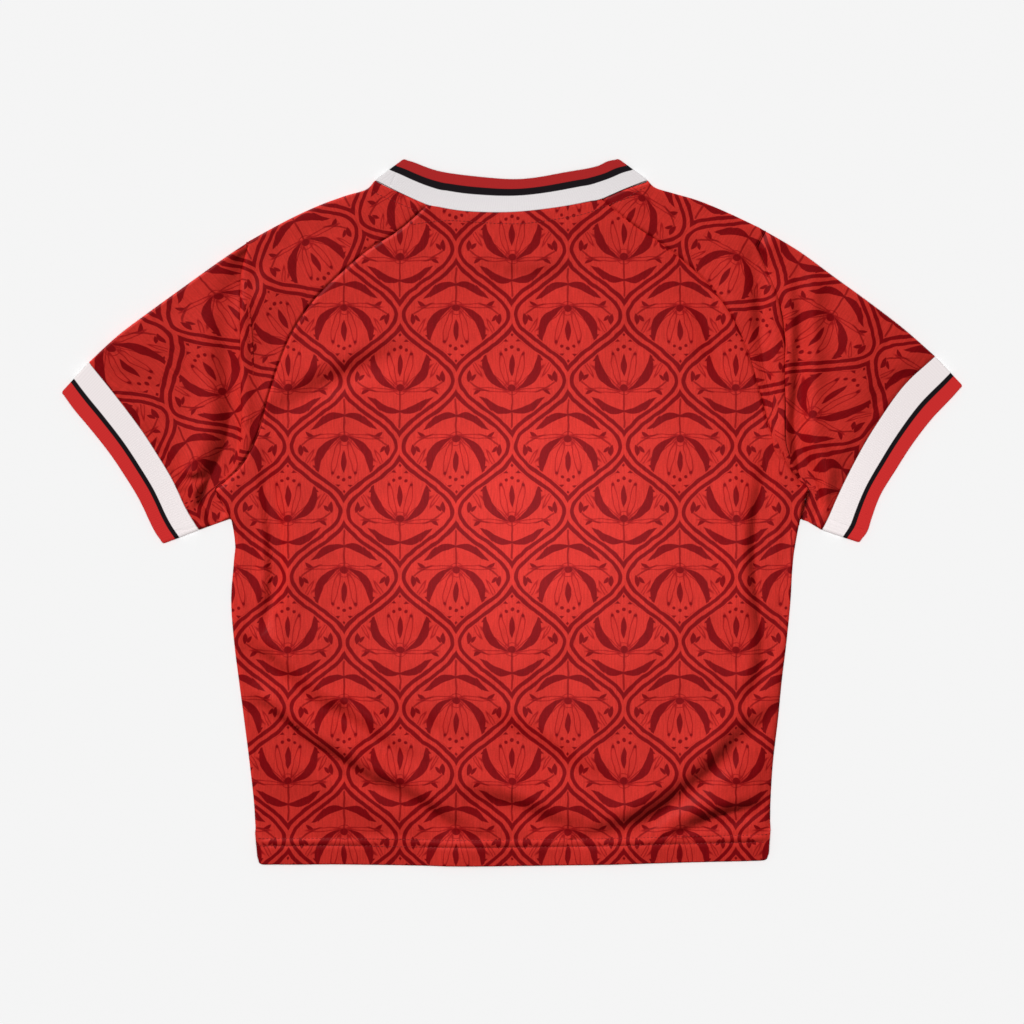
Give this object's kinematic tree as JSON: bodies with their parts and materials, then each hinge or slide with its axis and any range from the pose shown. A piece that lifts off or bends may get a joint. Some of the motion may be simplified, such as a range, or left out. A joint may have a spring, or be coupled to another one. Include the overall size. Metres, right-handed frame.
{
  "type": "cropped raglan jersey top",
  "caption": "Cropped short-sleeved raglan top of patterned knit with a striped ribbed collar and cuffs, laid flat with its back up.",
  "frame": {"origin": "on the surface the garment lies on, under the middle of its outline", "axes": "+X to the wearer's right, +Y up the garment from hem to neck, +Z off the surface, out of the back that lies uppermost"},
  "size_m": [0.7572, 0.5941, 0.0074],
  "materials": {
    "jersey": "fine polyester weft knit with a faint satin sheen, red with a darker tone-on-tone lattice",
    "rib": "fine stretch rib, off-white with a black and a red stripe at its free edge"
  },
  "bodies": {
    "root": {"back_panel": "jersey", "front_panel": "jersey", "sleeve_left": "jersey", "sleeve_right": "jersey", "collar": "rib", "cuff_left": "rib", "cuff_right": "rib"}
  },
  "joints": []
}
